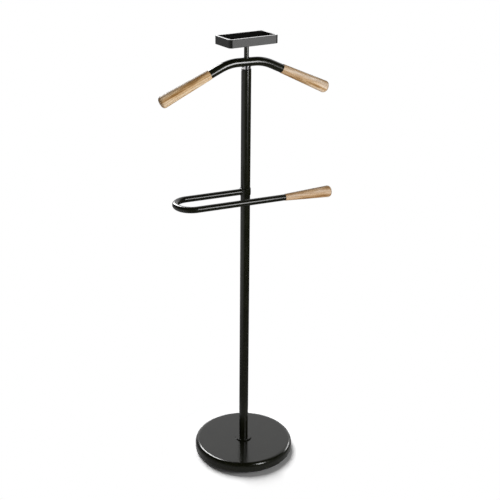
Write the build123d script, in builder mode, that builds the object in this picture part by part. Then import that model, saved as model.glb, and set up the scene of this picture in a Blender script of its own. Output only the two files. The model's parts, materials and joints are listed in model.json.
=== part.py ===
"""Free-standing valet stand: a weighted round base, a pole in three screwed sections, a U-shaped
trouser bar on a ring, a bent-tube coat hanger with turned wooden grips, and a small tray on a stem.

Millimetres. +Z is up, the floor is Z = 0, the pole stands on the Z axis and the hanger lies along X.
"""

import os

from build123d import *

os.makedirs("parts", exist_ok=True)

# Base: a pressed steel cover crimped round a cast disc, on a foam pad
base_diameter = 274.0
base_height = 28.0
base_edge_radius = 12.0
cover_wall = 1.5
cover_floor_gap = 1.0
cover_lip_width = 6.0
cover_lip_bend = 3.0
weight_clearance = 0.2
pad_inset = 3.0
pad_hole_diameter = 70.0

# Screwed joints of the base and the pole
thread_diameter = 10.0
thread_clearance = 0.1
hole_clearance = 0.5
thread_point = 1.0
bolt_head_shoulder = 3.0
bolt_head_height = 6.4
bolt_engagement = 20.0
base_washer_width = 14.0
base_washer_thickness = 2.5
lock_washer_width = 4.0
lock_washer_thickness = 2.5
lock_washer_gap = 1.5
spanner_clearance = 3.0
bolt_head_recess = 2.0

# Pole: three tubes, each with a threaded plug welded into its ends
pole_diameter = 25.0
pole_wall = 1.5
lower_pole_length = 510.0
middle_pole_length = 224.0
upper_pole_length = 307.0
pole_end_chamfer = 0.5
plug_length = 24.0
plug_clearance = 0.05
plug_chamfer = 0.6
stud_engagement = 19.0
flange_rim = 9.5
flange_thickness = 2.5
flange_edge_radius = 1.0

# Swivels
running_clearance = 0.08

# Trouser bar: a ring clamped between two pole sections carries a bent tube with one wooden grip
ring_overhang = 1.5
ring_height = 19.0
ring_edge_radius = 1.2
bar_diameter = 16.0
bar_wall = 1.2
bar_bend_radius = 40.2
bar_left_reach = 163.4
bar_right_reach = 75.0
bar_grip_length = 126.5
bar_grip_end_diameter = 30.0

# Hanger: a bent tube with two wooden grips, on a steel spigot that plugs into the pole
hanger_diameter = 22.0
hanger_wall = 1.5
hanger_crown_length = 91.0
hanger_bend_radius = 108.0
hanger_drop_angle = 25.0
hanger_arm_length = 56.5
hanger_grip_length = 138.5
hanger_grip_end_diameter = 31.0
neck_height = 8.5
saddle_depth = 4.0
spigot_depth = 45.0
spigot_chamfer = 1.5
spigot_stop_length = 10.0

# Wooden grips
grip_shoulder = 0.7
grip_waist = 0.15
grip_dome = 3.6
grip_edge_radius = 2.2
grip_shoulder_chamfer = 0.4
tenon_length = 26.0
tenon_clearance = 0.1
tenon_chamfer = 1.0

# Tray on its stem
stem_diameter = 12.0
stem_length = 34.3
stem_socket_depth = 22.0
stem_clearance = 0.05
tray_length = 140.0
tray_width = 73.8
tray_height = 20.8
tray_wall = 6.0
tray_floor = 4.0
tray_corner_radius = 8.0
tray_inner_radius = 2.0
tray_rim_radius = 0.8
tray_foot_radius = 1.0
tray_turn = 9.0
tray_flange_rim = 14.0
tray_flange_thickness = 2.5
tray_screw_diameter = 6.0
tray_screw_engagement = 12.0
tray_screw_tip_gap = 3.0
tray_screw_head_shoulder = 2.4
tray_screw_head_height = 3.3
tray_screw_head_radius = 2.0
tray_washer_width = 6.0
tray_washer_thickness = 1.6

# Levels, from the floor up
cover_lip_top = cover_floor_gap + cover_wall
weight_top = base_height - cover_wall
lower_pole_bottom = base_height + flange_thickness
middle_pole_bottom = lower_pole_bottom + lower_pole_length
ring_bottom = middle_pole_bottom + middle_pole_length
bar_axis_height = ring_bottom + ring_height / 2
upper_pole_bottom = ring_bottom + ring_height
pole_top = upper_pole_bottom + upper_pole_length
spigot_bottom = pole_top - spigot_depth
hanger_underside = pole_top + neck_height
hanger_axis_height = hanger_underside + hanger_diameter / 2
hanger_top = hanger_axis_height + hanger_diameter / 2
tray_bottom = hanger_top + stem_length
tray_inside = tray_bottom + tray_floor
stem_top = tray_bottom - tray_flange_thickness
stem_bottom = hanger_underside - stem_socket_depth

# Radii that several pieces share
base_radius = base_diameter / 2
pole_radius = pole_diameter / 2
pole_bore_radius = pole_radius - pole_wall
plug_radius = pole_bore_radius - plug_clearance
ring_radius = pole_radius + ring_overhang
thread_radius = thread_diameter / 2
threaded_bore_radius = thread_radius + thread_clearance
clear_hole_radius = thread_radius + hole_clearance
hanger_radius = hanger_diameter / 2
stem_radius = stem_diameter / 2
tray_screw_radius = tray_screw_diameter / 2


def write_piece(piece, name):
    """Label a finished piece and write it as a STEP file of the same name."""
    piece.part.label = name
    export_step(piece.part, f"parts/{name}.step")


def disc(bottom, thickness, outer_radius, hole_radius):
    """Flat ring on the pole axis, such as a washer."""
    with BuildPart() as ring:
        with BuildSketch(Plane.XY.offset(bottom)):
            Circle(outer_radius)
            Circle(hole_radius, mode=Mode.SUBTRACT)
        extrude(amount=thickness)
    return ring


def circles_at(piece, height):
    """Circular edges of a piece that lie level at one height, smallest first."""
    level = piece.edges().filter_by(GeomType.CIRCLE).filter_by_position(Axis.Z, height - 0.01, height + 0.01)
    return level.sort_by(SortBy.RADIUS)


def pole_tube(bottom, length):
    """One pole section, with its outer corners broken so that a fine groove shows at each joint."""
    with BuildPart() as tube:
        with BuildSketch(Plane.XY.offset(bottom)):
            Circle(pole_radius)
            Circle(pole_bore_radius, mode=Mode.SUBTRACT)
        extrude(amount=length)
        chamfer([circles_at(tube, bottom)[-1], circles_at(tube, bottom + length)[-1]], length=pole_end_chamfer)
    return tube


def threaded_plug(bottom):
    """Steel plug with a threaded bore, welded into a pole section's end."""
    with BuildPart() as plug:
        with BuildSketch(Plane.XY.offset(bottom)):
            Circle(plug_radius)
            Circle(threaded_bore_radius, mode=Mode.SUBTRACT)
        extrude(amount=plug_length)
        chamfer(plug.edges().filter_by(GeomType.CIRCLE), length=plug_chamfer)
    return plug


def stud(bottom, top):
    """Threaded rod with chamfered ends."""
    with BuildPart() as rod:
        with BuildSketch(Plane.XY.offset(bottom)):
            Circle(thread_radius)
        extrude(amount=top - bottom)
        chamfer(rod.edges().filter_by(GeomType.CIRCLE), length=thread_point)
    return rod


def turned_grip(seat, tube_diameter, tube_wall, end_diameter, length):
    """Wooden grip turned about its own axis. Its tenon fills the tube's end at the seat plane,
    and its body starts a little proud of the tube, flares and ends in a shallow dome."""
    tenon_radius = tube_diameter / 2 - tube_wall - tenon_clearance
    shoulder_radius = tube_diameter / 2 + grip_shoulder
    end_radius = end_diameter / 2
    dome_radius = (end_radius**2 + grip_dome**2) / (2 * grip_dome)
    with BuildPart() as grip:
        with BuildSketch(Plane(origin=seat.origin, x_dir=seat.z_dir, z_dir=seat.x_dir)) as profile:
            with BuildLine():
                Polyline(
                    (length + grip_dome, 0),
                    (-tenon_length, 0),
                    (-tenon_length, tenon_radius - tenon_chamfer),
                    (tenon_chamfer - tenon_length, tenon_radius),
                    (0, tenon_radius),
                    (0, shoulder_radius - grip_shoulder_chamfer),
                    (grip_shoulder_chamfer, shoulder_radius),
                )
                flare = SagittaArc((grip_shoulder_chamfer, shoulder_radius), (length, end_radius), -grip_waist)
                RadiusArc(flare @ 1, (length + grip_dome, 0), dome_radius)
            make_face()
            fillet(profile.vertices().sort_by(Axis.Y)[-1], radius=grip_edge_radius)
        revolve(axis=Axis(seat.origin, seat.z_dir))
    return grip


# Base cover: one sheet drawn over the top edge, down the side and crimped in under the weight
sheet_middle = cover_wall / 2
with BuildPart() as base_cover:
    with BuildSketch(Plane.XZ):
        with BuildLine():
            FilletPolyline(
                (clear_hole_radius, base_height - sheet_middle),
                (base_radius - sheet_middle, base_height - sheet_middle),
                (base_radius - sheet_middle, cover_floor_gap + sheet_middle),
                (base_radius - cover_lip_width, cover_floor_gap + sheet_middle),
                radius=[base_edge_radius - sheet_middle, cover_lip_bend - sheet_middle],
            )
        trace(line_width=cover_wall)
    revolve(axis=Axis.Z)
write_piece(base_cover, "base_cover")

# Cast weight that fills the cover, with a pocket underneath for the bolt's head and washers
washer_stack = base_washer_thickness + lock_washer_thickness
pocket_radius = thread_radius + base_washer_width + spanner_clearance
pocket_depth = washer_stack + bolt_head_height + bolt_head_recess
pocket_ceiling = cover_lip_top + pocket_depth
weight_underside = Plane(origin=(0, 0, cover_lip_top), z_dir=(0, 0, -1))
with BuildPart() as base_weight:
    with BuildSketch(Plane.XY.offset(cover_lip_top)):
        Circle(base_radius - cover_wall - weight_clearance)
    extrude(amount=weight_top - cover_lip_top)
    fillet(circles_at(base_weight, weight_top), radius=base_edge_radius - cover_wall)
    fillet(circles_at(base_weight, cover_lip_top), radius=cover_lip_bend)
    with Locations(weight_underside):
        CounterBoreHole(clear_hole_radius, pocket_radius, pocket_depth)
write_piece(base_weight, "base_weight")

# Foam pad inside the crimped lip; the stand rests on it
pad_radius = base_radius - cover_lip_width - pad_inset
base_pad = disc(0, cover_lip_top, pad_radius, pad_hole_diameter / 2)
write_piece(base_pad, "base_pad")

# Bolt up through the weight and the cover into the pole's foot, with its two washers
base_washer_bottom = pocket_ceiling - base_washer_thickness
base_washer = disc(base_washer_bottom, base_washer_thickness, thread_radius + base_washer_width, clear_hole_radius)
write_piece(base_washer, "base_washer")

lock_washer_bottom = base_washer_bottom - lock_washer_thickness
lock_washer_radius = thread_radius + lock_washer_width
with BuildPart() as base_lock_washer:
    with BuildSketch(Plane.XY.offset(lock_washer_bottom)):
        Circle(lock_washer_radius)
        Circle(clear_hole_radius, mode=Mode.SUBTRACT)
        with Locations((lock_washer_radius / 2, 0)):
            Rectangle(lock_washer_radius, lock_washer_gap, mode=Mode.SUBTRACT)
    extrude(amount=lock_washer_thickness)
write_piece(base_lock_washer, "base_lock_washer")

bolt_tip = lower_pole_bottom + bolt_engagement
with BuildPart() as base_bolt:
    with BuildSketch(Plane.XY.offset(lock_washer_bottom)):
        RegularPolygon(thread_radius + bolt_head_shoulder, 6, major_radius=False)
    extrude(amount=-bolt_head_height)
    with BuildSketch(Plane.XY.offset(lock_washer_bottom)):
        Circle(thread_radius)
    extrude(amount=bolt_tip - lock_washer_bottom)
    chamfer(circles_at(base_bolt, bolt_tip), length=thread_point)
write_piece(base_bolt, "base_bolt")

# Flange between the cover and the pole's foot
with BuildPart() as pole_flange:
    with BuildSketch(Plane.XY.offset(base_height)):
        Circle(pole_radius + flange_rim)
        Circle(clear_hole_radius, mode=Mode.SUBTRACT)
    extrude(amount=flange_thickness)
    fillet(circles_at(pole_flange, lower_pole_bottom)[-1], radius=flange_edge_radius)
write_piece(pole_flange, "pole_flange")

# Pole sections and the plugs in their ends
write_piece(pole_tube(lower_pole_bottom, lower_pole_length), "lower_pole")
write_piece(pole_tube(middle_pole_bottom, middle_pole_length), "middle_pole")
write_piece(pole_tube(upper_pole_bottom, upper_pole_length), "upper_pole")

write_piece(threaded_plug(lower_pole_bottom), "lower_pole_foot_plug")
write_piece(threaded_plug(middle_pole_bottom - plug_length), "lower_pole_top_plug")
write_piece(threaded_plug(middle_pole_bottom), "middle_pole_foot_plug")
write_piece(threaded_plug(ring_bottom - plug_length), "middle_pole_top_plug")
write_piece(threaded_plug(upper_pole_bottom), "upper_pole_foot_plug")

# Studs that draw the sections together; the upper one also passes through the trouser bar's ring
write_piece(stud(middle_pole_bottom - stud_engagement, middle_pole_bottom + stud_engagement), "pole_stud")
write_piece(stud(ring_bottom - stud_engagement, upper_pole_bottom + stud_engagement), "ring_stud")

# Plug inside the upper pole that the hanger's spigot stands on
with BuildPart() as spigot_stop:
    with BuildSketch(Plane.XY.offset(spigot_bottom - spigot_stop_length)):
        Circle(plug_radius)
    extrude(amount=spigot_stop_length)
write_piece(spigot_stop, "spigot_stop")

# Ring that the trouser bar is welded to; it turns on its stud between the two pole sections
with BuildPart() as bar_ring:
    with BuildSketch(Plane.XY.offset(ring_bottom)):
        Circle(ring_radius)
        Circle(thread_radius + running_clearance, mode=Mode.SUBTRACT)
    extrude(amount=ring_height)
    fillet(
        [circles_at(bar_ring, ring_bottom)[-1], circles_at(bar_ring, upper_pole_bottom)[-1]],
        radius=ring_edge_radius,
    )
write_piece(bar_ring, "bar_ring")

# Trouser bar: out to the left from the ring, round a half turn and back past the front of the pole
bar_front = -2 * bar_bend_radius
with BuildPart() as trouser_bar:
    with BuildLine(Plane.XY.offset(bar_axis_height)) as bar_path:
        back_leg = Line((0, 0), (-bar_left_reach, 0))
        bend = JernArc(start=back_leg @ 1, tangent=back_leg % 1, radius=bar_bend_radius, arc_size=180)
        Line(bend @ 1, (bar_right_reach, bar_front))
    with BuildSketch(Plane(origin=bar_path.wire() @ 0, z_dir=bar_path.wire() % 0)):
        Circle(bar_diameter / 2)
        Circle(bar_diameter / 2 - bar_wall, mode=Mode.SUBTRACT)
    sweep()
    with BuildSketch(Plane.XY.offset(bar_axis_height)):
        Circle(ring_radius)
    extrude(amount=bar_diameter, both=True, mode=Mode.SUBTRACT)
write_piece(trouser_bar, "trouser_bar")

bar_seat = Plane(origin=(bar_right_reach, bar_front, bar_axis_height), x_dir=(0, 1, 0), z_dir=(1, 0, 0))
bar_grip = turned_grip(bar_seat, bar_diameter, bar_wall, bar_grip_end_diameter, bar_grip_length)
write_piece(bar_grip, "trouser_bar_grip")

# Hanger tube: a level crown with an arm dropping away at each side
arm_left = Vector(-1, 0, 0).rotate(Axis.Y, -hanger_drop_angle)
arm_right = Vector(1, 0, 0).rotate(Axis.Y, hanger_drop_angle)
crown_left = Vector(-hanger_crown_length / 2, 0, hanger_axis_height)
crown_right = Vector(hanger_crown_length / 2, 0, hanger_axis_height)
hanger_left_end = crown_left + arm_left * hanger_arm_length
hanger_right_end = crown_right + arm_right * hanger_arm_length
with BuildLine() as hanger_path:
    FilletPolyline(hanger_left_end, crown_left, crown_right, hanger_right_end, radius=hanger_bend_radius)
hanger_section = Plane(origin=hanger_left_end, z_dir=arm_left * -1)

with BuildPart() as hanger_envelope:
    with BuildSketch(hanger_section):
        Circle(hanger_radius)
    sweep(path=hanger_path.wire())

with BuildPart() as hanger_tube:
    with BuildSketch(hanger_section):
        Circle(hanger_radius)
        Circle(hanger_radius - hanger_wall, mode=Mode.SUBTRACT)
    sweep(path=hanger_path.wire())
    with Locations((0, 0, hanger_top)):
        Hole(stem_radius + stem_clearance)
write_piece(hanger_tube, "hanger_tube")

for side, end, arm in (("left", hanger_left_end, arm_left), ("right", hanger_right_end, arm_right)):
    arm_seat = Plane(origin=end, x_dir=(0, 1, 0), z_dir=arm)
    hanger_grip = turned_grip(
        arm_seat, hanger_diameter, hanger_wall, hanger_grip_end_diameter, hanger_grip_length
    )
    write_piece(hanger_grip, f"hanger_{side}_grip")

# Steel spigot under the hanger: it turns in the pole's bore, and its top is cut to cradle the tube
spigot_top = hanger_underside + saddle_depth
with BuildPart() as hanger_spigot:
    with BuildSketch(Plane.XY.offset(spigot_bottom)):
        Circle(pole_bore_radius - running_clearance)
    extrude(amount=spigot_top - spigot_bottom)
    chamfer(circles_at(hanger_spigot, spigot_bottom), length=spigot_chamfer)
    with BuildSketch(Plane.XY.offset(stem_bottom)):
        Circle(stem_radius + stem_clearance)
    extrude(amount=spigot_top - stem_bottom, mode=Mode.SUBTRACT)
    add(hanger_envelope.part, mode=Mode.SUBTRACT)
write_piece(hanger_spigot, "hanger_spigot")

# Stem: a rod from the spigot's socket up through the tube, tapped for the tray's screw
tapped_depth = tray_screw_engagement + tray_screw_tip_gap
with BuildPart() as tray_stem:
    with BuildSketch(Plane.XY.offset(stem_bottom)):
        Circle(stem_radius)
    extrude(amount=stem_top - stem_bottom)
    with Locations((0, 0, stem_top)):
        Hole(tray_screw_radius + thread_clearance, depth=tapped_depth)
write_piece(tray_stem, "tray_stem")

tray_hole_radius = tray_screw_radius + running_clearance
tray_flange = disc(stem_top, tray_flange_thickness, stem_radius + tray_flange_rim, tray_hole_radius)
write_piece(tray_flange, "tray_flange")

# Tray: it turns on its one screw, and stands a little askew of the hanger
tray_plane = Plane.XY.offset(tray_bottom).rotated((0, 0, tray_turn))
tray_top = tray_bottom + tray_height
with BuildPart() as tray:
    with BuildSketch(tray_plane):
        RectangleRounded(tray_length, tray_width, tray_corner_radius)
    extrude(amount=tray_height)
    with BuildSketch(tray_plane.offset(tray_floor)):
        Rectangle(tray_length - 2 * tray_wall, tray_width - 2 * tray_wall)
    extrude(amount=tray_height - tray_floor, mode=Mode.SUBTRACT)
    pocket_corners = tray.edges().filter_by(Axis.Z).group_by(SortBy.LENGTH)[0]
    fillet(pocket_corners, radius=tray_inner_radius)
    fillet(tray.edges().group_by(Axis.Z)[-1], radius=tray_rim_radius)
    fillet(tray.edges().group_by(Axis.Z)[0], radius=tray_foot_radius)
    with Locations((0, 0, tray_inside)):
        Hole(tray_hole_radius)
write_piece(tray, "tray")

# The tray's screw and washer
tray_washer = disc(tray_inside, tray_washer_thickness, tray_screw_radius + tray_washer_width, tray_hole_radius)
write_piece(tray_washer, "tray_washer")

tray_screw_seat = tray_inside + tray_washer_thickness
tray_screw_tip = stem_top - tray_screw_engagement
with BuildPart() as tray_screw:
    with BuildSketch(Plane.XY.offset(tray_screw_seat)):
        Circle(tray_screw_radius + tray_screw_head_shoulder)
    extrude(amount=tray_screw_head_height)
    fillet(tray_screw.edges().group_by(Axis.Z)[-1], radius=tray_screw_head_radius)
    with BuildSketch(Plane.XY.offset(tray_screw_tip)):
        Circle(tray_screw_radius)
    extrude(amount=tray_screw_seat - tray_screw_tip)
write_piece(tray_screw, "tray_screw")
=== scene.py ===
"""Looks of a valet stand: black tube, turned wooden grips, a weighted round base and a small tray.

Metres, in the CAD frame: the floor is Z = 0, the pole stands on the Z axis, the hanger lies along X.
"""

import json
import math

import bpy
from mathutils import Matrix, Vector


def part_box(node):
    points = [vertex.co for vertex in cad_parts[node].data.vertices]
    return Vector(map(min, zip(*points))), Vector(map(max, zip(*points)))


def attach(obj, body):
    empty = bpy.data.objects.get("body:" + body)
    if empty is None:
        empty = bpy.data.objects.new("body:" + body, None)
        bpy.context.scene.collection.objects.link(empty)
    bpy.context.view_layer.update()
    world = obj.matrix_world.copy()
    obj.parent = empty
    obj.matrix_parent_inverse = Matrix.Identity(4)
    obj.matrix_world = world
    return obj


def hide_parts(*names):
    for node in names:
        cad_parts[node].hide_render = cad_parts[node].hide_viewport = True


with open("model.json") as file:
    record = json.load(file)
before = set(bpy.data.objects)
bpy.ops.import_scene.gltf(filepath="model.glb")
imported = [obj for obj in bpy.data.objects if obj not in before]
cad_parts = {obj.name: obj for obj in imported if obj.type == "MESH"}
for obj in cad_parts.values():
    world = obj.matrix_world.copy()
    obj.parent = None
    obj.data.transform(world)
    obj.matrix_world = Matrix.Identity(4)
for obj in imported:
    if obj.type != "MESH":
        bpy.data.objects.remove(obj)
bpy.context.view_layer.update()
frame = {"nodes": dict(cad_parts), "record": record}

nodes = frame["nodes"]
scene = bpy.context.scene

# Camera, fitted to the photograph's outlines
CAMERA_AZIMUTH = math.radians(-23.59)
CAMERA_REACH = 2.4589
CAMERA_HEIGHT = 1.6430
CAMERA_PITCH = math.radians(22.80)
CAMERA_YAW = math.radians(-0.315)
CAMERA_ROLL = math.radians(0.574)
CAMERA_LENS = 72.56

# Grips
HANGER_DROP = math.radians(25.0)
HANGER_CROWN_HALF = 0.0455
HANGER_ARM = 0.0565
HANGER_GRIP_LENGTH = 0.1385
HANGER_GRIP_END = 0.0155
BAR_GRIP_LENGTH = 0.1265
BAR_GRIP_END = 0.0150
GRIP_SHOULDER = 0.0007
GRIP_CHAMFER = 0.0004
GRIP_TENON = 0.026
GRIP_TUBE_WALL = 0.0016
GRIP_ROUNDING = 0.0055
GRIP_DOME = 0.0036
GRIP_FULLNESS = 0.55

# Base and pole
PAD_HOLE_RADIUS = 0.035
PAD_SWELL = 0.8
FLANGE_HEIGHT = 0.0036
FLANGE_ROUNDING = 0.0006
FLANGE_CHAMFER = 0.0004
FLANGE_OVERHANG = 0.0008
FLANGE_PLAY = 0.0005
FLANGE_RINGS = (0.0080, 0.0006, 0.0002)
BUSH_HEIGHT = 0.0029
BUSH_ROUNDING = 0.0006
BUSH_CHAMFER = 0.0003
BUSH_PLAY = 0.0002

# Screws, welds and rubbed edges
TRAY_SCREW_RADIUS = 0.003
TRAY_SCREW_PITCH = 0.001
TRAY_SCREW_HEAD = 0.0033
TRAY_SCREW_RIM = 0.0009
TRAY_SCREW_FLAT = 0.0028
TRAY_SCREW_SOCKET = 0.002
BOLT_RADIUS = 0.005
BOLT_PITCH = 0.0015
BOLT_HEAD = 0.0064
THREAD_DEPTH = 0.54
BAR_WELD = 0.0014
SPIGOT_WELD = 0.0012
STEM_WELD = 0.0015
FLANGE_WELD = 0.0012
WELD_RIPPLE = 0.07
WORN_EDGE = 0.0006

# Points round a piece's mesh
DISC_SIDES = 96
PAD_SIDES = 160
GRIP_SIDES = 64
SCREW_SIDES = 48
STUD_SIDES = 40
WELD_STEPS = 144
WELD_SIDES = 10

# Room that the gloss mirrors; each edge is where a zone starts and ends
AMBIENT = 0.07
STUDIO_DARK = 0.006
WALL_HEADING = (0.545, 0.839, 0.0)
WALL_EDGE = (0.57, 0.74)
WALL_TOP = (0.95, 0.7)
FRONT_HEADING = (-0.400, -0.916, 0.0)
FRONT_GLOW = 0.08
FLANK_GLOW = 0.17
FLANK_EDGE = (0.9, 0.2)
FLANK_TOP = (0.52, 0.36)
SECTOR_HEADING = (-0.974, 0.225, 0.0)
SECTOR_DARK = 0.03
SECTOR_WHITE = 0.66
SECTOR_EDGE = (0.25, 1.05)
HORIZON = (0.0, -0.01)

# Floor
FLOOR_HALF = 3.5
FLOOR_COLOUR = (0.85, 0.85, 0.85, 1)
FLOOR_WHITE_EDGE = (0.165, 0.225)
NEAR_HEADING = (-0.766, 0.643, 0.0)
NEAR_GLOW = 0.27
NEAR_WHITE = 0.42
NEAR_EDGE = (0.4, 1.0)
FLOOR_DIM = 0.13
FLOOR_DIM_EDGE = (0.2, 0.3)
FLOOR_FAR_EDGE = (0.25, 1.3)

# Lamps
STAND_MIDDLE = (0, 0, 0.9)
BASE_MIDDLE = (0, 0, 0.03)
TRAY_MIDDLE = (0, 0, 1.165)
FLOOR_MIDDLE = (0, 0, 0)
WINDOW_PLACE = (0.43, -1.248)
WINDOW_HEIGHT = 1.12
WINDOW_SIZE = (0.36, 0.60)
SKIRT_HEIGHT = 0.66
SKIRT_SIZE = (0.30, 0.32)
HIGH_LAMP_SPREAD = math.radians(32)


# Camera

def add_camera():
    """Camera at the photograph's viewing angle."""
    heading = CAMERA_AZIMUTH + CAMERA_YAW
    ahead = Vector((-math.sin(heading), math.cos(heading), 0))
    aside = Vector((math.cos(heading), math.sin(heading), 0))
    upright = Vector((0, 0, 1))
    forward = ahead * math.cos(CAMERA_PITCH) - upright * math.sin(CAMERA_PITCH)
    above = ahead * math.sin(CAMERA_PITCH) + upright * math.cos(CAMERA_PITCH)
    right = aside * math.cos(CAMERA_ROLL) + above * math.sin(CAMERA_ROLL)
    top = above * math.cos(CAMERA_ROLL) - aside * math.sin(CAMERA_ROLL)
    camera = bpy.data.objects.new("camera", bpy.data.cameras.new("camera"))
    camera.data.lens = CAMERA_LENS
    camera.data.sensor_width = 36.0
    place = Matrix((right, top, -forward)).transposed().to_4x4()
    place.translation = (
        math.sin(CAMERA_AZIMUTH) * CAMERA_REACH,
        -math.cos(CAMERA_AZIMUTH) * CAMERA_REACH,
        CAMERA_HEIGHT,
    )
    camera.matrix_world = place
    scene.collection.objects.link(camera)
    scene.camera = camera


# Shader nodes

def new_node(tree, kind, inputs=None, **settings):
    """Shader node with its settings; an input given as a socket is linked, any other is set."""
    made = tree.nodes.new("ShaderNode" + kind)
    for name, value in settings.items():
        setattr(made, name, value)
    for name, value in (inputs or {}).items():
        if isinstance(value, bpy.types.NodeSocket):
            tree.links.new(value, made.inputs[name])
        else:
            made.inputs[name].default_value = value
    return made


def new_material(name):
    """Empty node material, its tree and its output node."""
    made = bpy.data.materials.new(name)
    made.use_nodes = True
    made.node_tree.nodes.clear()
    return made, made.node_tree, new_node(made.node_tree, "OutputMaterial")


def finish_material(tree, output, inputs):
    """Principled shader on the material's output."""
    shader = new_node(tree, "BsdfPrincipled", inputs)
    tree.links.new(shader.outputs["BSDF"], output.inputs["Surface"])


def ramp(tree, factor, *stops):
    """Colour ramp through (position, colour) stops."""
    made = new_node(tree, "ValToRGB", {"Fac": factor})
    points = made.color_ramp.elements
    while len(points) < len(stops):
        points.new(0.5)
    for point, (position, colour) in zip(points, stops):
        point.position = position
        point.color = (*colour, 1.0)
    return made.outputs["Color"]


def step(tree, value, start, end, low=0.0, high=1.0):
    """Smooth step from low, where the value is at start, to high, where it is at end."""
    made = new_node(tree, "MapRange", {
        "Value": value, "From Min": start, "From Max": end, "To Min": low, "To Max": high,
    }, interpolation_type="SMOOTHSTEP")
    return made.outputs["Result"]


def math_node(tree, operation, first, second):
    return new_node(tree, "Math", {0: first, 1: second}, operation=operation).outputs["Value"]


def mixed(tree, kind, factor, first, second):
    """Two colours blended in one of the colour mix modes."""
    made = new_node(tree, "Mix", {0: factor, 6: first, 7: second}, data_type="RGBA", blend_type=kind)
    return made.outputs[2]


def blended(tree, factor, first, second):
    """Two values blended."""
    return new_node(tree, "Mix", {0: factor, 2: first, 3: second}).outputs[0]


def blended_shader(tree, factor, first, second):
    return new_node(tree, "MixShader", {0: factor, 1: first, 2: second}).outputs["Shader"]


def noise(tree, vector, scale, detail=3.0, roughness=0.5):
    """Fractal noise at a scale per metre."""
    made = new_node(tree, "TexNoise", {
        "Vector": vector, "Scale": scale, "Detail": detail, "Roughness": roughness,
    })
    return made.outputs["Fac"]


def bumped(tree, height, strength, distance):
    """Normal with a fine relief."""
    made = new_node(tree, "Bump", {"Height": height, "Strength": strength, "Distance": distance})
    return made.outputs["Normal"]


def object_point(tree):
    return new_node(tree, "TexCoord").outputs["Object"]


def stretched(tree, vector, scale):
    return new_node(tree, "Mapping", {"Vector": vector, "Scale": scale}).outputs["Vector"]


def edge_mask(tree, radius):
    """1 along sharp edges, 0 on open surfaces."""
    soft = new_node(tree, "Bevel", {"Radius": radius}, samples=4).outputs["Normal"]
    plain = new_node(tree, "NewGeometry").outputs["Normal"]
    alike = new_node(tree, "VectorMath", {0: soft, 1: plain}, operation="DOT_PRODUCT").outputs["Value"]
    return step(tree, alike, 0.995, 0.90)


# Materials

def powder_coat(name, smooth, rough):
    """Satin black powder coat: faint cloudiness, fine orange peel and slightly rubbed corners."""
    made, tree, output = new_material(name)
    point = object_point(tree)
    clouds = noise(tree, point, 26.0)
    dust = noise(tree, point, 420.0, detail=4.0, roughness=0.7)
    peel = noise(tree, point, 700.0, detail=2.0)
    colour = ramp(tree, clouds, (0.3, (0.0036, 0.0039, 0.0016)), (0.7, (0.0056, 0.0060, 0.0028)))
    specked = mixed(tree, "MIX", step(tree, dust, 0.66, 0.78, 0.0, 0.35), colour, (0.010, 0.010, 0.009, 1))
    rubbing = math_node(tree, "MULTIPLY", edge_mask(tree, WORN_EDGE), step(tree, dust, 0.4, 0.6, 0.1, 0.5))
    worn = mixed(tree, "MIX", rubbing, specked, (0.016, 0.016, 0.015, 1))
    finish_material(tree, output, {
        "Base Color": worn,
        "Roughness": step(tree, clouds, 0.3, 0.7, smooth, rough),
        "Normal": bumped(tree, peel, 0.004, 0.0002),
        "IOR": 1.5,
    })
    return made


def tray_black():
    """Satin charcoal plastic with a fine moulded grain."""
    made, tree, output = new_material("tray_black")
    point = object_point(tree)
    clouds = noise(tree, point, 45.0)
    grain = noise(tree, point, 1500.0, detail=3.0)
    colour = ramp(tree, clouds, (0.3, (0.0060, 0.0061, 0.0056)), (0.7, (0.0085, 0.0086, 0.0080)))
    rubbing = math_node(tree, "MULTIPLY", edge_mask(tree, WORN_EDGE), 0.35)
    worn = mixed(tree, "MIX", rubbing, colour, (0.016, 0.016, 0.016, 1))
    finish_material(tree, output, {
        "Base Color": worn,
        "Roughness": step(tree, clouds, 0.3, 0.7, 0.18, 0.24),
        "Normal": bumped(tree, grain, 0.02, 0.0002),
        "IOR": 1.38,
    })
    return made


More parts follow.
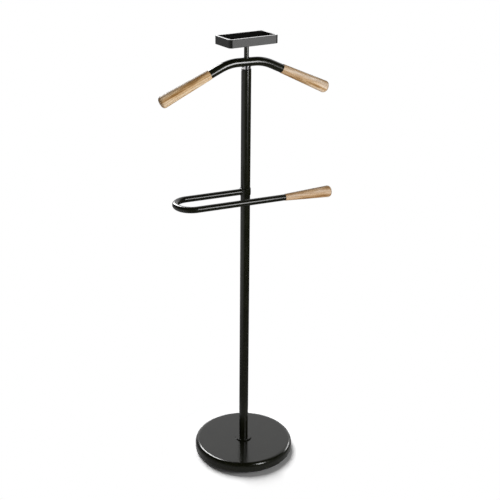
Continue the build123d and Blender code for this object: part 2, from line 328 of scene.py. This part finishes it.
def turned_wood(name, seat, axis, pith, length, tone_and_painted_shade):
    """Lacquered wood whose grain runs along a grip: growth rings round a pith beside the grip, brown
    streaks, fine fibres and pores, and darker end grain on the dome."""
    made, tree, output = new_material(name)
    turn = Vector((1, 0, 0)).rotation_difference(axis).to_euler()
    along = new_node(tree, "Mapping", {"Vector": object_point(tree), "Location": seat, "Rotation": turn},
                     vector_type="TEXTURE").outputs["Vector"]
    reach = new_node(tree, "SeparateXYZ", {"Vector": along}).outputs["X"]
    end_grain = step(tree, reach, length - 0.0015, length + 0.0008)

    # Rings round the pith, bent by a slow sway along the grip
    ring_point = new_node(tree, "Mapping", {"Vector": along, "Location": pith}).outputs["Vector"]
    rings = new_node(tree, "TexWave", {
        "Vector": stretched(tree, ring_point, (0.16, 1, 1)), "Scale": 60.0, "Distortion": 6.0, "Detail": 3.0,
        "Detail Scale": 0.55, "Detail Roughness": 0.6,
    }, wave_type="RINGS", rings_direction="X", wave_profile="SAW").outputs["Fac"]
    streaks = noise(tree, stretched(tree, along, (9, 85, 85)), 1.0, detail=4.0, roughness=0.55)
    fibres = noise(tree, stretched(tree, along, (34, 1500, 1500)), 1.0, detail=3.0, roughness=0.65)
    pores = noise(tree, stretched(tree, along, (85, 2300, 2300)), 1.0, detail=2.0)

    # Colour, from the broad streaks to the fine pores
    body = ramp(
        tree, streaks,
        (0.34, (0.255, 0.130, 0.040)), (0.47, (0.470, 0.318, 0.178)), (0.62, (0.555, 0.435, 0.318)),
    )
    late = ramp(tree, rings, (0.3, (1.0, 1.0, 1.0)), (0.88, (0.74, 0.65, 0.54)), (1.0, (0.95, 0.93, 0.9)))
    ringed = mixed(tree, "MULTIPLY", 0.85, body, late)
    threads = ramp(tree, fibres, (0.33, (0.78, 0.72, 0.64)), (0.6, (1.0, 1.0, 1.0)))
    fibrous = mixed(tree, "MULTIPLY", 0.65, ringed, threads)
    specks = ramp(tree, pores, (0.30, (0.50, 0.40, 0.30)), (0.38, (1.0, 1.0, 1.0)))
    faced = mixed(tree, "MULTIPLY", 0.7, fibrous, specks)
    ended = mixed(tree, "MULTIPLY", math_node(tree, "MULTIPLY", end_grain, 0.9), faced, (0.66, 0.58, 0.48, 1))
    # Each grip's own factor scales its copy of the wood: partly the wood's own tone, partly painted shade
    # that evens out how brightly the lamps light each grip
    toned_and_shaded = mixed(tree, "MULTIPLY", 1.0, ended, (*tone_and_painted_shade, 1))
    finish_material(tree, output, {
        "Base Color": toned_and_shaded,
        "Roughness": step(tree, streaks, 0.3, 0.7, 0.46, 0.58),
        "Normal": bumped(tree, pores, 0.06, 0.0003),
        "IOR": 1.33,
        "Specular IOR Level": 0.2,
    })
    return made


def metal(name, tint, smooth, rough, lines):
    """Bare metal with fine turning lines round the pole axis and faint stains."""
    made, tree, output = new_material(name)
    point = object_point(tree)
    scratches = noise(tree, stretched(tree, point, (40, 40, lines)), 1.0, detail=2.0)
    stains = noise(tree, point, 90.0)
    dull = tuple(0.86 * channel for channel in tint)
    finish_material(tree, output, {
        "Base Color": ramp(tree, stains, (0.3, dull), (0.6, tint)),
        "Metallic": 1.0,
        "Roughness": step(tree, stains, 0.3, 0.7, smooth, rough),
        "Normal": bumped(tree, scratches, 0.04, 0.0001),
    })
    return made


def cast_stone():
    """Rough grey cast disc with small pits and grit."""
    made, tree, output = new_material("cast_weight")
    point = object_point(tree)
    grit = noise(tree, point, 420.0, detail=5.0, roughness=0.7)
    clouds = noise(tree, point, 30.0)
    pits = new_node(tree, "TexVoronoi", {"Vector": point, "Scale": 240.0}).outputs["Distance"]
    base = ramp(tree, clouds, (0.3, (0.24, 0.235, 0.22)), (0.7, (0.36, 0.35, 0.33)))
    grains = ramp(tree, grit, (0.35, (0.55, 0.55, 0.55)), (0.55, (1.0, 1.0, 1.0)))
    holes = ramp(tree, pits, (0.08, (0.35, 0.35, 0.35)), (0.16, (1.0, 1.0, 1.0)))
    gritty = mixed(tree, "MULTIPLY", 1.0, base, grains)
    finish_material(tree, output, {
        "Base Color": mixed(tree, "MULTIPLY", 1.0, gritty, holes),
        "Roughness": 0.92,
        "Normal": bumped(tree, grit, 0.5, 0.0008),
    })
    return made


def foam():
    """Dark closed-cell foam."""
    made, tree, output = new_material("foam_pad")
    point = object_point(tree)
    cells = new_node(tree, "TexVoronoi", {"Vector": point, "Scale": 900.0}).outputs["Distance"]
    clouds = noise(tree, point, 60.0)
    skin = ramp(tree, cells, (0.0, (0.012, 0.012, 0.012)), (0.7, (0.030, 0.030, 0.030)))
    shade = ramp(tree, clouds, (0.35, (0.8, 0.8, 0.8)), (0.65, (1.0, 1.0, 1.0)))
    finish_material(tree, output, {
        "Base Color": mixed(tree, "MULTIPLY", 1.0, skin, shade),
        "Roughness": 0.88,
        "Normal": bumped(tree, cells, 0.35, 0.0004),
    })
    return made


def paint(names, material):
    """Give CAD nodes a material."""
    for name in names:
        slots = nodes[name].data.materials
        slots.clear()
        slots.append(material)


def paint_everything():
    """Every CAD node takes its slot's material, and the pressed base a slightly smoother coat. The
    grips are painted where they are made."""
    slot_nodes = {}
    for entry in frame["record"]["subparts"]:
        slot_nodes.setdefault(entry["material_slot"], []).append(entry["node"])
    for slot, material in made_materials.items():
        paint(slot_nodes[slot], material)
    paint(["base_cover"], powder_coat("black_powder_coat_base", 0.15, 0.19))


# Meshes

def add_piece(name, shape, body, slot, material=None):
    """Smooth-shaded mesh piece of points and faces that rides on a body, in its slot's material
    unless it is given its own."""
    points, faces = shape
    mesh = bpy.data.meshes.new(name)
    mesh.from_pydata(points, [], faces)
    mesh.validate()
    mesh.shade_smooth()
    mesh.materials.append(material or made_materials[slot])
    piece = bpy.data.objects.new(name, mesh)
    scene.collection.objects.link(piece)
    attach(piece, body)
    return piece


def lofted(rings, wrapped):
    """Points and faces of a skin over rings of equally many points. A wrapped skin joins its last
    ring to its first; any other is closed by a face at each end."""
    count = len(rings[0])
    points = [point for ring in rings for point in ring]
    faces = []
    for i in range(len(rings) if wrapped else len(rings) - 1):
        here = i * count
        there = (i + 1) % len(rings) * count
        for j in range(count):
            k = (j + 1) % count
            faces.append((here + j, here + k, there + k, there + j))
    if not wrapped:
        last = (len(rings) - 1) * count
        faces.append(tuple(range(count - 1, -1, -1)))
        faces.append(tuple(range(last, last + count)))
    return points, faces


def ring_of(count, height, radius_at):
    """Level ring about the pole's axis; radius_at gives the radius at an angle."""
    turns = [2 * math.pi * i / count for i in range(count)]
    return [(radius_at(a) * math.cos(a), radius_at(a) * math.sin(a), height) for a in turns]


def turned(profile, count):
    """Closed profile of (radius, height) turned about the pole's axis."""
    rings = [ring_of(count, height, lambda angle, radius=radius: radius) for radius, height in profile]
    return lofted(rings, True)


def rounded_corner(radius, top, rounding):
    """Profile points round the outer upper corner of a turned piece."""
    points = []
    for i in range(7):
        angle = math.pi / 2 * i / 6
        inward = rounding * (1 - math.cos(angle))
        points.append((radius - inward, top - rounding * (1 - math.sin(angle))))
    return points


def hexagon(apothem):
    """Radius of a hexagon at an angle, with a corner at angle 0."""
    sixth = math.pi / 3
    return lambda angle: apothem / math.cos((angle % sixth) - sixth / 2)


def thread_rings(low, high, radius, pitch, count):
    """Rings of a threaded shank with a chamfer at its top and bottom."""
    depth = THREAD_DEPTH * pitch
    rings = []
    total = round((high - low) / pitch * 6)
    for i in range(total + 1):
        height = low + (high - low) * i / total
        limit = radius - depth + 0.8 * min(height - low, high - height)

        def radius_at(angle, height=height, limit=limit):
            phase = (height / pitch - angle / (2 * math.pi)) % 1
            crest = min(1.0, 2.4 * abs(phase - 0.5))
            return min(limit + depth * 0.2, radius - depth * (1 - crest))

        rings.append(ring_of(count, height, radius_at))
    return rings


def bead(name, path, outward, thickness, body):
    """Weld bead along a closed path, with the fine ripples that a weld pool leaves."""
    count = len(path)
    rings = []
    for i in range(count):
        ahead = (path[(i + 1) % count] - path[i - 1]).normalized()
        side = outward[i].normalized()
        up = ahead.cross(side).normalized()
        size = thickness * (1 + WELD_RIPPLE * math.sin(2 * math.pi * i * 5 / 24))
        turns = [2 * math.pi * j / WELD_SIDES for j in range(WELD_SIDES)]
        rings.append([path[i] + side * size * math.cos(a) + up * size * math.sin(a) for a in turns])
    add_piece(name, lofted(rings, True), body, "black_powder_coat")


# Grips

def grip_rings(seat, axis, tube_radius, end_radius, length):
    """Rings of a turned grip from its tenon's end to the tip of its rounded end."""
    shoulder = tube_radius + GRIP_SHOULDER
    tenon = tube_radius - GRIP_TUBE_WALL
    profile = [(-GRIP_TENON, tenon - GRIP_CHAMFER), (GRIP_CHAMFER - GRIP_TENON, tenon), (0, tenon)]
    profile += [(0, shoulder - GRIP_CHAMFER), (GRIP_CHAMFER, shoulder)]
    straight = length - GRIP_ROUNDING
    for i in range(1, 25):
        share = i / 24
        along = GRIP_CHAMFER + (straight - GRIP_CHAMFER) * share
        profile.append((along, shoulder + (end_radius - shoulder) * share))
    for i in range(1, 19):
        turn = 0.998 * math.pi / 2 * i / 18
        along = straight + (GRIP_ROUNDING + GRIP_DOME) * math.sin(turn)
        profile.append((along, end_radius * math.cos(turn) ** GRIP_FULLNESS))
    side = axis.orthogonal().normalized()
    rise = axis.cross(side)
    turns = [2 * math.pi * i / GRIP_SIDES for i in range(GRIP_SIDES)]
    return [[seat + axis * along + (side * math.cos(a) + rise * math.sin(a)) * radius for a in turns]
            for along, radius in profile]


def add_grip(node, body, seat, axis, tube_radius, end_radius, length, pith, tone_and_painted_shade):
    """Turned grip with a well rounded end, of wood with the grain along its own axis."""
    wood = turned_wood("wood_" + node, seat, axis, pith, length, tone_and_painted_shade)
    paint([node], wood)
    rings = grip_rings(seat, axis, tube_radius, end_radius, length)
    grip = add_piece("turned_" + node, lofted(rings, False), body, "turned_wood", wood)
    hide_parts(node)


def add_hanger_grips():
    """Grips on the hanger's two sloping ends."""
    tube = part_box("hanger_tube")[1]
    crown = tube.z - tube.y
    # The last tuple is each hanger grip's colour factor: partly the wood's own tone, partly painted shade
    for node, side, pith, tone_and_painted_shade in (
        ("hanger_left_grip", -1, (0, 0.019, -0.014), (0.92, 0.945, 0.93)),
        ("hanger_right_grip", 1, (0, -0.021, -0.012), (0.867, 0.932, 1.045)),
    ):
        axis = Vector((side * math.cos(HANGER_DROP), 0, -math.sin(HANGER_DROP)))
        seat = Vector((side * HANGER_CROWN_HALF, 0, crown)) + axis * HANGER_ARM
        add_grip(node, "hanger", seat, axis, tube.y, HANGER_GRIP_END, HANGER_GRIP_LENGTH, pith, tone_and_painted_shade)


def add_bar_grip():
    """Grip on the trouser bar's straight end."""
    low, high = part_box("trouser_bar")
    radius = (high.z - low.z) / 2
    seat = Vector((high.x, low.y + radius, low.z + radius))
    axis = Vector((1, 0, 0))
    # The last tuple is the bar grip's colour factor: partly the wood's own tone, partly painted shade
    add_grip("trouser_bar_grip", "trouser_bar", seat, axis, radius, BAR_GRIP_END, BAR_GRIP_LENGTH,
             (0, 0.017, -0.018), (0.744, 0.734, 0.738))


# Base and pole

def add_foam_ring():
    """Foam pad under the base: flat above and below, with edges that swell out a little."""
    low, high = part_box("base_pad")
    half = (high.z - low.z) / 2
    middle = (high.z + low.z) / 2
    swell = PAD_SWELL * half
    outer = high.x - swell
    inner = PAD_HOLE_RADIUS + swell

    def edge(radius, start):
        turns = [start + math.pi * i / 12 for i in range(13)]
        return [(radius + swell * math.cos(a), middle + half * math.sin(a)) for a in turns]

    flat = [outer + (inner - outer) * i / 8 for i in range(1, 8)]
    profile = edge(outer, -math.pi / 2)
    profile += [(radius, high.z) for radius in flat]
    profile += edge(inner, math.pi / 2)
    profile += [(radius, low.z) for radius in reversed(flat)]
    pad = add_piece("base_foam", turned(profile, PAD_SIDES), "stand", "foam_pad")
    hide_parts("base_pad")


def add_flange():
    """Disc round the pole's foot, turned with a crisp rim that laps the pole's end."""
    low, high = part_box("pole_flange")
    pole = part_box("lower_pole")[1].x
    rim = high.x + FLANGE_OVERHANG
    top = low.z + FLANGE_HEIGHT
    bore = BOLT_RADIUS + FLANGE_PLAY
    profile = [(bore, low.z), (rim - FLANGE_CHAMFER, low.z), (rim, low.z + FLANGE_CHAMFER)]
    profile += rounded_corner(rim, top, FLANGE_ROUNDING)
    profile += [(pole + gap, top) for gap in FLANGE_RINGS]
    profile += [(pole, high.z), (bore, high.z)]
    disc = add_piece("foot_flange", turned(profile, DISC_SIDES), "stand", "black_powder_coat")
    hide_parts("pole_flange")


def add_bush():
    """Black plastic bush on the pole's top end, in which the hanger's spigot turns."""
    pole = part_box("upper_pole")[1]
    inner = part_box("hanger_spigot")[1].x + BUSH_PLAY
    top = pole.z + BUSH_HEIGHT
    profile = [(inner, pole.z), (pole.x - BUSH_CHAMFER, pole.z), (pole.x, pole.z + BUSH_CHAMFER)]
    profile += [(pole.x, pole.z + 2 * BUSH_CHAMFER), (pole.x, top - BUSH_ROUNDING - BUSH_CHAMFER)]
    profile += rounded_corner(pole.x, top, BUSH_ROUNDING)
    profile += [(inner + BUSH_CHAMFER, top), (inner, top - BUSH_CHAMFER)]
    add_piece("spigot_bush", turned(profile, DISC_SIDES), "stand", "tray_black")


# Welds

def weld_turns():
    return [2 * math.pi * i / WELD_STEPS for i in range(WELD_STEPS)]


def add_bar_weld():
    """Bead where the trouser bar meets its ring."""
    ring_low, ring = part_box("bar_ring")
    low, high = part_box("trouser_bar")
    radius = (high.z - low.z) / 2
    middle = (ring.z + ring_low.z) / 2
    path = []
    outward = []
    for a in weld_turns():
        y = radius * math.cos(a)
        path.append(Vector((-math.sqrt(ring.x**2 - y**2), y, middle + radius * math.sin(a))))
        outward.append(Vector((-1, math.cos(a), math.sin(a))))
    bead("bar_weld", path, outward, BAR_WELD, "trouser_bar")


def add_rod_weld(name, radius, height_at, slope, thickness):
    """Bead round an upright rod of the hanger; height_at gives its height at a distance in Y."""
    path = []
    outward = []
    for a in weld_turns():
        y = radius * math.sin(a)
        path.append(Vector((radius * math.cos(a), y, height_at(y))))
        outward.append(Vector((math.cos(a), math.sin(a), slope)))
    bead(name, path, outward, thickness, "hanger")


def add_hanger_welds():
    """Beads where the hanger meets its spigot and stem, and the stem its flange."""
    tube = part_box("hanger_tube")[1]
    middle = tube.z - tube.y
    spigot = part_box("hanger_spigot")[1]
    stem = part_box("tray_stem")[1]

    def half_height(y):
        return math.sqrt(tube.y**2 - y**2)

    def under(y):
        return min(spigot.z, middle - half_height(y))

    def over(y):
        return middle + half_height(y)

    add_rod_weld("spigot_weld", spigot.x, under, -0.6, SPIGOT_WELD)
    add_rod_weld("stem_weld", stem.x, over, 1, STEM_WELD)
    add_rod_weld("flange_weld", stem.x, lambda y: stem.z, -1, FLANGE_WELD)


# Screws

def add_tray_screw():
    """Button-head screw with a hexagon socket and a threaded shank."""
    low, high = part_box("tray_screw")
    seat = high.z - TRAY_SCREW_HEAD
    rings = thread_rings(low.z, seat, TRAY_SCREW_RADIUS, TRAY_SCREW_PITCH, SCREW_SIDES)
    rings.append(ring_of(SCREW_SIDES, seat, lambda angle: 0.97 * high.x))
    for i in range(9):
        turn = math.pi / 2 * i / 8
        crown = TRAY_SCREW_FLAT + (high.x - TRAY_SCREW_FLAT) * math.cos(turn)
        height = seat + TRAY_SCREW_RIM + (TRAY_SCREW_HEAD - TRAY_SCREW_RIM) * math.sin(turn)
        rings.append(ring_of(SCREW_SIDES, height, lambda angle, crown=crown: crown))
    for inset, depth in ((0.0003, 0.0), (0.0, 0.0003), (0.0, 0.0019)):
        rings.append(ring_of(SCREW_SIDES, high.z - depth, hexagon(TRAY_SCREW_SOCKET + inset)))
    screw = add_piece("tray_socket_screw", lofted(rings, False), "hanger", "zinc_steel")
    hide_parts("tray_screw")


def add_base_bolt():
    """Hexagon bolt with a chamfered head and a threaded shank."""
    low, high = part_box("base_bolt")
    across = hexagon(high.y)
    rings = []
    for height, share in (
        (0.0, 0.93), (0.0004, 0.99), (0.0013, 1.16), (0.9 * BOLT_HEAD, 1.16), (BOLT_HEAD, 1.13),
    ):
        reach = share * high.y
        level = low.z + height
        rings.append(ring_of(SCREW_SIDES, level, lambda angle, reach=reach: min(reach, across(angle))))
    rings += thread_rings(low.z + BOLT_HEAD, high.z, BOLT_RADIUS, BOLT_PITCH, SCREW_SIDES)
    bolt = add_piece("base_hex_bolt", lofted(rings, False), "stand", "zinc_steel")
    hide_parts("base_bolt")


def add_studs():
    """Threaded rods that draw the pole's sections together."""
    for name in ("pole_stud", "ring_stud"):
        low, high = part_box(name)
        rings = thread_rings(low.z, high.z, high.x, BOLT_PITCH, STUD_SIDES)
        rod = add_piece("threaded_" + name, lofted(rings, False), "stand", "zinc_steel")
        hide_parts(name)


# Studio

def facing(tree, direction, heading):
    """How far a direction, taken level, points along a heading: 1 along it, -1 against it."""
    level = new_node(tree, "VectorMath", {0: direction, 1: (1, 1, 0)}, operation="MULTIPLY")
    unit = new_node(tree, "VectorMath", {0: level.outputs["Vector"]}, operation="NORMALIZE")
    along = new_node(tree, "VectorMath", {0: unit.outputs["Vector"], 1: heading}, operation="DOT_PRODUCT")
    return along.outputs["Value"]


def sector(tree, direction):
    """Brightness of the far surroundings below the horizon, which rises towards the left."""
    return step(tree, facing(tree, direction, SECTOR_HEADING), *SECTOR_EDGE, SECTOR_DARK, SECTOR_WHITE)


def room(tree, direction):
    """Brightness of the room in reflections: a white wall behind the stand, dim flanks low down, a
    dimmer front, almost nothing above, and the far floor below the horizon."""
    height = new_node(tree, "SeparateXYZ", {"Vector": direction}).outputs["Z"]
    behind = step(tree, facing(tree, direction, WALL_HEADING), *WALL_EDGE)
    wall = math_node(tree, "MULTIPLY", behind, step(tree, height, *WALL_TOP))
    sides = step(tree, facing(tree, direction, FRONT_HEADING), *FLANK_EDGE, FRONT_GLOW, FLANK_GLOW)
    flanks = math_node(tree, "MULTIPLY", sides, step(tree, height, *FLANK_TOP))
    above = math_node(tree, "ADD", math_node(tree, "MAXIMUM", wall, flanks), STUDIO_DARK)
    return blended(tree, step(tree, height, *HORIZON), above, sector(tree, direction))


def background(tree, strength):
    return new_node(tree, "Background", {"Color": (1, 1, 1, 1), "Strength": strength}).outputs["Background"]


def glowing(tree, strength):
    return new_node(tree, "Emission", {"Color": (1, 1, 1, 1), "Strength": strength}).outputs["Emission"]


def mirrored_ray(tree, ray):
    """1 for rays that a glossy or a clear surface sends out."""
    return math_node(tree, "MAXIMUM", ray.outputs["Is Glossy Ray"], ray.outputs["Is Transmission Ray"])


def add_world():
    """White to the camera all round, the room in reflections, and a weak even light elsewhere."""
    world = bpy.data.worlds.new("studio")
    scene.world = world
    world.use_nodes = True
    tree = world.node_tree
    tree.nodes.clear()
    output = new_node(tree, "OutputWorld")
    ray = new_node(tree, "LightPath")
    mirror = background(tree, room(tree, new_node(tree, "TexCoord").outputs["Generated"]))
    unseen = blended_shader(tree, mirrored_ray(tree, ray), background(tree, AMBIENT), mirror)
    both = blended_shader(tree, ray.outputs["Is Camera Ray"], unseen, background(tree, 1.0))
    tree.links.new(both, output.inputs["Surface"])


def floor_glow(tree, point, reach):
    """Brightness of the floor in reflections: pale close to the base, most of all at its left and back,
    then a dim zone, and as the far surroundings further out."""
    beside = step(tree, facing(tree, point, NEAR_HEADING), *NEAR_EDGE, NEAR_GLOW, NEAR_WHITE)
    near = blended(tree, step(tree, reach, *FLOOR_DIM_EDGE), beside, FLOOR_DIM)
    return blended(tree, step(tree, reach, *FLOOR_FAR_EDGE), near, sector(tree, point))


def floor_white():
    """Matt white that shows the stand's shadow near the base and turns plain white to the camera
    further out, with a glow of its own in reflections."""
    made, tree, output = new_material("floor_white")
    made.cycles.emission_sampling = "NONE"
    ray = new_node(tree, "LightPath")
    point = object_point(tree)
    reach = new_node(tree, "VectorMath", {0: point}, operation="LENGTH").outputs["Value"]
    matt = new_node(tree, "BsdfDiffuse", {"Color": FLOOR_COLOUR}).outputs["BSDF"]
    mirror = glowing(tree, floor_glow(tree, point, reach))
    seen = blended_shader(tree, step(tree, reach, *FLOOR_WHITE_EDGE), matt, glowing(tree, 1.0))
    unseen = blended_shader(tree, mirrored_ray(tree, ray), matt, mirror)
    both = blended_shader(tree, ray.outputs["Is Camera Ray"], unseen, seen)
    tree.links.new(both, output.inputs["Surface"])
    return made


def add_floor():
    """Pale floor under the stand."""
    corners = [(x * FLOOR_HALF, y * FLOOR_HALF, 0) for x, y in ((-1, -1), (1, -1), (1, 1), (-1, 1))]
    mesh = bpy.data.meshes.new("floor")
    mesh.from_pydata(corners, [], [(0, 1, 2, 3)])
    mesh.materials.append(floor_white())
    floor = bpy.data.objects.new("floor", mesh)
    scene.collection.objects.link(floor)
    return floor


# Lamps

def place_lamp(data, place, target):
    """Lamp object aimed at a point, itself hidden from the camera."""
    lamp = bpy.data.objects.new(data.name, data)
    aim = Vector(target) - Vector(place)
    lamp.matrix_world = Matrix.Translation(place) @ aim.to_track_quat("-Z", "Y").to_matrix().to_4x4()
    lamp.visible_camera = False
    scene.collection.objects.link(lamp)
    return lamp


def add_panel(name, place, target, size, energy):
    """Rectangular soft lamp aimed at a point."""
    data = bpy.data.lights.new(name, "AREA")
    data.shape = "RECTANGLE"
    data.size, data.size_y = size
    data.energy = energy
    return place_lamp(data, place, target)


def link_lamp(lamp, state, objects):
    """Let a lamp light these objects only (INCLUDE), or all but these (EXCLUDE)."""
    targets = bpy.data.collections.new(lamp.name + "_targets")
    for target in objects:
        targets.objects.link(target)
    for entry in targets.collection_objects:
        entry.light_linking.link_state = state
    lamp.light_linking.receiver_collection = targets


def add_windows(floor):
    """Small window at the front right with a faint skirt below it. The trouser bar has a dimmer
    window of its own, and the tray and the floor have none."""
    bar = nodes["trouser_bar"]
    others = (floor, nodes["tray"], bar)
    for name, height, size, energy, state, objects in (
        ("window", WINDOW_HEIGHT, WINDOW_SIZE, 12.6, "EXCLUDE", others),
        ("window_skirt", SKIRT_HEIGHT, SKIRT_SIZE, 0.30, "EXCLUDE", others),
        ("bar_window", WINDOW_HEIGHT, WINDOW_SIZE, 7.0, "INCLUDE", (bar,)),
    ):
        window = add_panel(name, (*WINDOW_PLACE, height), (0, 0, height), size, energy)
        link_lamp(window, state, objects)


def add_fills(floor):
    """Soft light for the stand alone, from the front, the top and behind. No surface mirrors it."""
    for name, place, width, energy in (
        ("front_fill", (-0.3, -2.2, 1.0), 1.5, 30.0),
        ("top_fill", (0.0, -0.3, 3.0), 1.2, 12.0),
        ("back_fill", (0.6, 2.2, 0.7), 1.5, 26.0),
    ):
        fill = add_panel(name, place, STAND_MIDDLE, (width, width), energy)
        fill.visible_glossy = False
        link_lamp(fill, "EXCLUDE", [floor])


def add_strips():
    """Lamps for the gloss alone: a tall one high behind the stand, and a low one at the right for
    the base's rim."""
    back = add_panel("back_strip", (-0.289, 1.253, 1.532), BASE_MIDDLE, size=(0.45, 1.0), energy=32.0)
    right = add_panel("right_strip", (1.64, 0.36, 0.645), BASE_MIDDLE, size=(0.80, 0.28), energy=7.2)
    link_lamp(right, "INCLUDE", [nodes["base_cover"]])
    for strip in (back, right):
        strip.visible_diffuse = False


def add_tray_panels():
    """Lamps for the tray alone: its front mirrors the first and its rims the second, and the third
    lights its inside without a reflection."""
    for name, place, size, energy, mirrored in (
        ("tray_panel", (0.97, -1.10, 0.88), (0.8, 0.8), 8.9, True),
        ("tray_back", (0.725, 1.256, 1.53), (1.0, 0.6), 4.4, True),
        ("tray_fill", (-0.6, -1.6, 2.3), (0.8, 0.8), 30.0, False),
    ):
        panel = add_panel(name, place, TRAY_MIDDLE, size, energy)
        panel.visible_glossy = mirrored
        link_lamp(panel, "INCLUDE", [nodes["tray"]])


def add_floor_lamps(floor):
    """Light for the floor alone: a weak panel at the right, and a wide lamp from behind, which gives
    the stand's shadow. No surface mirrors them."""
    panel = add_panel("floor_fill", (1.05, -0.55, 0.50), FLOOR_MIDDLE, size=(0.6, 0.6), energy=5.0)
    data = bpy.data.lights.new("high_lamp", "SUN")
    data.angle = HIGH_LAMP_SPREAD
    data.energy = 6.1
    high_lamp = place_lamp(data, (0.05, 0.81, 0.585), FLOOR_MIDDLE)
    for lamp in (panel, high_lamp):
        lamp.visible_glossy = False
        link_lamp(lamp, "INCLUDE", [floor])


# The whole scene

scene.view_settings.view_transform = "Standard"
made_materials = {
    "black_powder_coat": powder_coat("black_powder_coat", 0.17, 0.21),
    "tray_black": tray_black(),
    "zinc_steel": metal("zinc_steel", (0.58, 0.57, 0.54), 0.28, 0.42, 2500),
    "bright_steel": metal("bright_steel", (0.93, 0.93, 0.93), 0.015, 0.03, 4000),
    "cast_weight": cast_stone(),
    "foam_pad": foam(),
}
add_camera()
add_world()
studio_floor = add_floor()
add_windows(studio_floor)
add_fills(studio_floor)
add_strips()
add_tray_panels()
add_floor_lamps(studio_floor)
paint_everything()
add_hanger_grips()
add_bar_grip()
add_foam_ring()
add_flange()
add_bush()
add_bar_weld()
add_hanger_welds()
add_tray_screw()
add_base_bolt()
add_studs()
